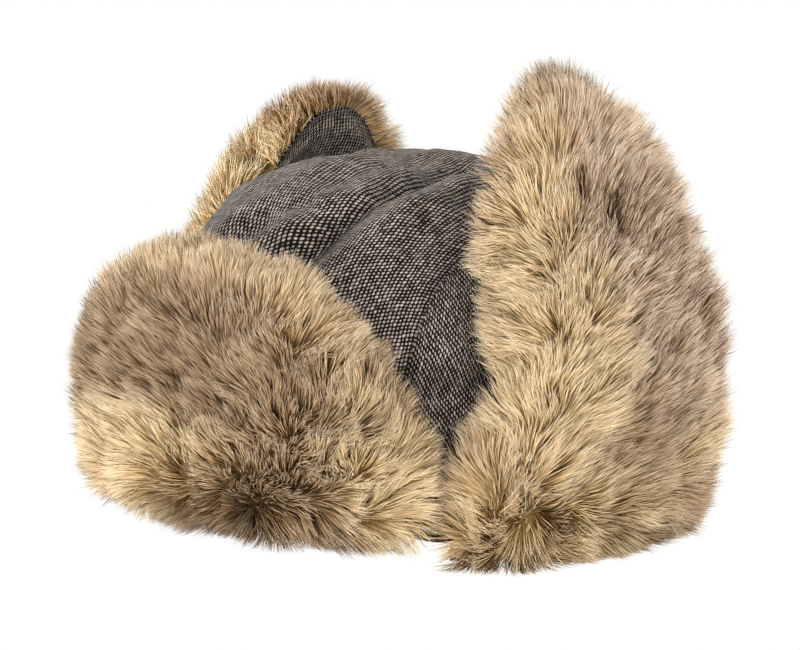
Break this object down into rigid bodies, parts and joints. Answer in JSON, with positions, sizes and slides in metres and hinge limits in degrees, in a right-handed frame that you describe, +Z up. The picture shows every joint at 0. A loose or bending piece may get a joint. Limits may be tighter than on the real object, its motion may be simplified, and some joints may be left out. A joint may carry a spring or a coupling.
{
  "type": "trapper hat",
  "caption": "Trapper hat with a soft tweed crown and hinged front, ear and neck flaps of long-pile faux fur, all folded up; quilted lining and a sweatband inside.",
  "frame": {"origin": "on the surface the hat rests on, under the middle of its bounding box", "axes": "+Z up out of the crown, front of the hat towards -Y, wearer's left towards +X"},
  "size_m": [0.2622, 0.3067, 0.188],
  "materials": {
    "tweed": "salt-and-pepper wool tweed",
    "pile": "long-pile faux fur",
    "wadding": "needled batting",
    "satin": "quilted satin",
    "seam_tape": "woven tape",
    "sweatband": "cotton twill band",
    "binding": "folded bias binding",
    "tab": "blank woven tab",
    "snap_metal": "dull nickel"
  },
  "bodies": {
    "crown": {"crown_centre_panel": "tweed", "crown_left_panel": "tweed", "crown_right_panel": "tweed", "crown_padding": "wadding", "crown_lining": "satin", "left_seam_tape": "seam_tape", "right_seam_tape": "seam_tape", "sweatband": "sweatband", "rim_binding": "binding", "size_tab": "tab", "front_snap_stud": "snap_metal"},
    "front_flap": {"front_flap_fur": "pile", "front_flap_padding": "wadding", "front_flap_shell": "tweed", "front_snap_socket": "snap_metal"},
    "left_ear_flap": {"left_ear_flap_fur": "pile", "left_ear_flap_padding": "wadding", "left_ear_flap_shell": "tweed", "ear_snap_stud": "snap_metal"},
    "right_ear_flap": {"right_ear_flap_fur": "pile", "right_ear_flap_padding": "wadding", "right_ear_flap_shell": "tweed", "ear_snap_socket": "snap_metal"},
    "neck_flap": {"neck_flap_fur": "pile", "neck_flap_padding": "wadding", "neck_flap_shell": "tweed"}
  },
  "joints": [
    {"name": "front_flap_fold", "type": "hinge", "parent": "crown", "child": "front_flap", "pos_m": [0, -0.0936, 0.013], "axis": [1, 0, 0], "range_deg": [0, 150]},
    {"name": "left_ear_flap_fold", "type": "hinge", "parent": "crown", "child": "left_ear_flap", "pos_m": [0.088, 0.0034, 0.003], "axis": [0, 1, 0], "range_deg": [0, 150]},
    {"name": "right_ear_flap_fold", "type": "hinge", "parent": "crown", "child": "right_ear_flap", "pos_m": [-0.088, 0.0034, 0.003], "axis": [0, -1, 0], "range_deg": [0, 150]},
    {"name": "neck_flap_fold", "type": "hinge", "parent": "crown", "child": "neck_flap", "pos_m": [0, 0.1024, 0.003], "axis": [-1, 0, 0], "range_deg": [0, 150]}
  ]
}
